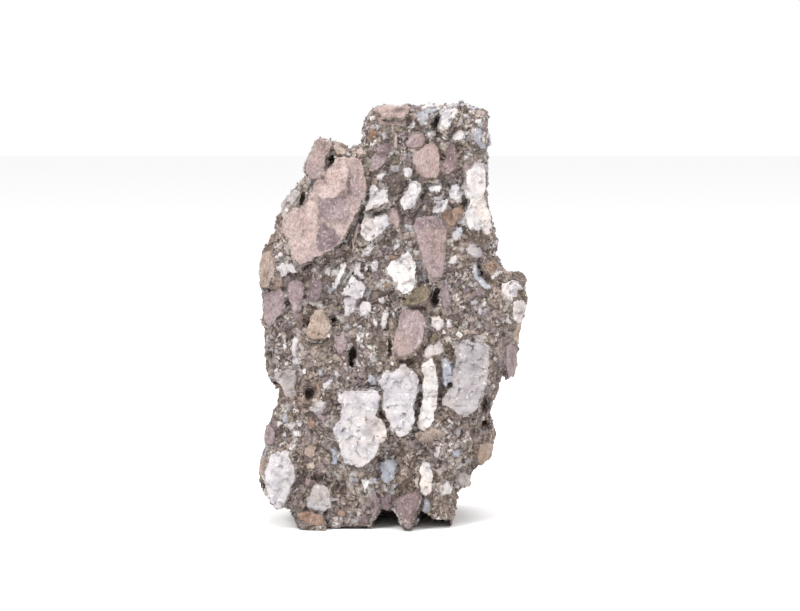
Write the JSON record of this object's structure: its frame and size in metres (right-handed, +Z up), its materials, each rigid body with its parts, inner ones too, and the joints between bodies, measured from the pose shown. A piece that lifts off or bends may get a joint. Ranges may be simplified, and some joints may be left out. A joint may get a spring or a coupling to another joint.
{
  "type": "viewing stone",
  "caption": "Display stone: an upright slab of angular breccia with a rough, nearly flat front, standing on its own broken base.",
  "frame": {"origin": "middle of the stone's bounding box, at the height of the face that it rests on", "axes": "+X to the right seen from the front, the front faces -Y, +Z up"},
  "size_m": [0.1284, 0.0714, 0.2006],
  "materials": {
    "breccia": "rough broken rock"
  },
  "bodies": {
    "root": {"stone": "breccia"}
  },
  "joints": []
}
